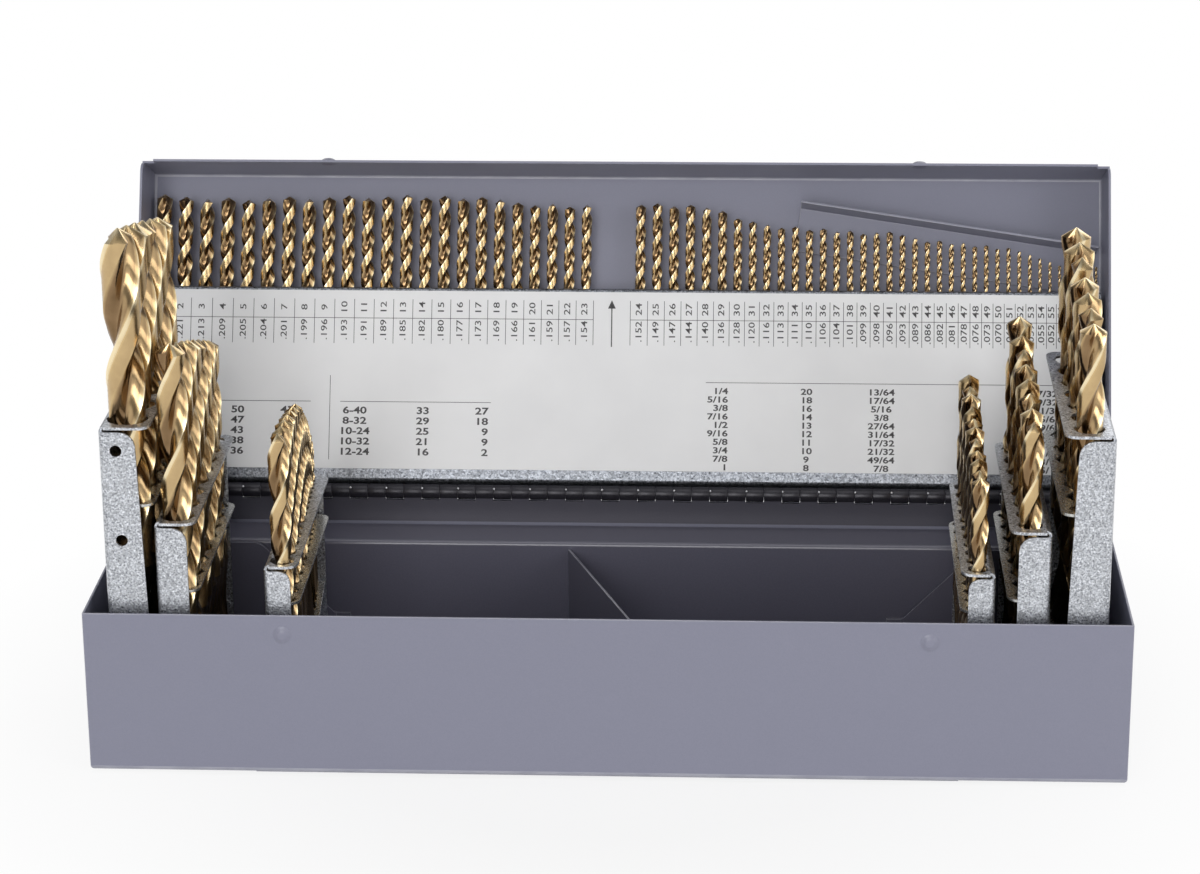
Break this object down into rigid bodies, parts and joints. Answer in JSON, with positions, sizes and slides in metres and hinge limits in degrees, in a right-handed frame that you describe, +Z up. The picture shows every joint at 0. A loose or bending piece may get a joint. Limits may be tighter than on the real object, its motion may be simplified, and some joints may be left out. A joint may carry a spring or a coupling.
{
  "type": "folding drill index",
  "caption": "Folding drill index case with a hinged lid: tilting racks hold twist drills in stepped sizes and a sloped rack in the lid holds the small number drills.",
  "frame": {"origin": "centre of the case's base, on the surface it stands on", "axes": "+X along the case's length to the right as seen from the front, +Y from the front to the hinge, +Z up"},
  "size_m": [0.3422, 0.1772, 0.1814],
  "materials": {
    "grey_paint": "semi-gloss blue-grey enamel, slightly orange-peeled",
    "inner_paint": "semi-gloss blue-grey enamel",
    "zinc_sheet": "bright speckled zinc plate",
    "zinc_small": "bright zinc plate",
    "hinge_steel": "plain rolled steel, slightly dull",
    "gold_drill": "gold-bronze oxide over ground steel",
    "label_print": "near-white print with dark plain numbers and ticks"
  },
  "bodies": {
    "case": {"case_shell": "grey_paint", "rear_channel": "inner_paint", "left_front_bracket": "inner_paint", "left_rear_bracket": "inner_paint", "right_front_bracket": "inner_paint", "right_rear_bracket": "inner_paint", "diagonal_divider": "inner_paint", "hinge_case_leaf": "hinge_steel", "hinge_pin": "hinge_steel"},
    "lid": {"lid_shell": "grey_paint", "hinge_lid_leaf": "hinge_steel", "number_rack_frame": "zinc_sheet", "number_rack_seat": "zinc_sheet", "number_rack_label": "label_print", "drill_stop_bracket": "inner_paint", "number_drills_1_to_20": "gold_drill", "number_drills_21_to_40": "gold_drill", "number_drills_41_to_60": "gold_drill"},
    "left_outer_rack": {"left_outer_rack_frame": "zinc_sheet", "left_outer_guide_shelf": "zinc_sheet", "left_outer_seat_shelf": "zinc_sheet", "left_outer_drills": "gold_drill", "left_outer_pivot_rivets": "zinc_small"},
    "left_middle_rack": {"left_middle_rack_frame": "zinc_sheet", "left_middle_guide_shelf": "zinc_sheet", "left_middle_seat_shelf": "zinc_sheet", "left_middle_drills": "gold_drill", "left_middle_pivot_rivets": "zinc_small"},
    "left_inner_rack": {"left_inner_rack_frame": "zinc_sheet", "left_inner_guide_shelf": "zinc_sheet", "left_inner_seat_shelf": "zinc_sheet", "left_inner_drills": "gold_drill", "left_inner_pivot_rivets": "zinc_small"},
    "right_outer_rack": {"right_outer_rack_frame": "zinc_sheet", "right_outer_guide_shelf": "zinc_sheet", "right_outer_seat_shelf": "zinc_sheet", "right_outer_drills": "gold_drill", "right_outer_pivot_rivets": "zinc_small"},
    "right_middle_rack": {"right_middle_rack_frame": "zinc_sheet", "right_middle_guide_shelf": "zinc_sheet", "right_middle_seat_shelf": "zinc_sheet", "right_middle_drills": "gold_drill", "right_middle_pivot_rivets": "zinc_small"},
    "right_inner_rack": {"right_inner_rack_frame": "zinc_sheet", "right_inner_guide_shelf": "zinc_sheet", "right_inner_seat_shelf": "zinc_sheet", "right_inner_drills": "gold_drill", "right_inner_pivot_rivets": "zinc_small"}
  },
  "joints": [
    {"name": "lid_hinge", "type": "hinge", "parent": "case", "child": "lid", "pos_m": [0, 0.05725, 0.0575], "axis": [1, 0, 0], "range_deg": [0, 34]},
    {"name": "left_outer_fold", "type": "hinge", "parent": "case", "child": "left_outer_rack", "pos_m": [-0.1525, -0.0083, 0.0373], "axis": [0, 1, 0], "range_deg": [0, 90]},
    {"name": "left_middle_fold", "type": "hinge", "parent": "case", "child": "left_middle_rack", "pos_m": [-0.1382, -0.0083, 0.0223], "axis": [0, 1, 0], "range_deg": [0, 90]},
    {"name": "left_inner_fold", "type": "hinge", "parent": "case", "child": "left_inner_rack", "pos_m": [-0.1046, -0.0083, 0.0095], "axis": [0, 1, 0], "range_deg": [0, 90]},
    {"name": "right_outer_fold", "type": "hinge", "parent": "case", "child": "right_outer_rack", "pos_m": [0.1525, -0.0083, 0.0373], "axis": [0, -1, 0], "range_deg": [0, 90]},
    {"name": "right_middle_fold", "type": "hinge", "parent": "case", "child": "right_middle_rack", "pos_m": [0.1355, -0.0083, 0.0223], "axis": [0, -1, 0], "range_deg": [0, 90]},
    {"name": "right_inner_fold", "type": "hinge", "parent": "case", "child": "right_inner_rack", "pos_m": [0.1193, -0.0083, 0.0095], "axis": [0, -1, 0], "range_deg": [0, 90]}
  ],
  "couplings": [
    {"joint": "left_middle_fold", "follows": "left_outer_fold", "ratio": 1},
    {"joint": "left_inner_fold", "follows": "left_outer_fold", "ratio": 1},
    {"joint": "right_middle_fold", "follows": "right_outer_fold", "ratio": 1},
    {"joint": "right_inner_fold", "follows": "right_outer_fold", "ratio": 1}
  ]
}
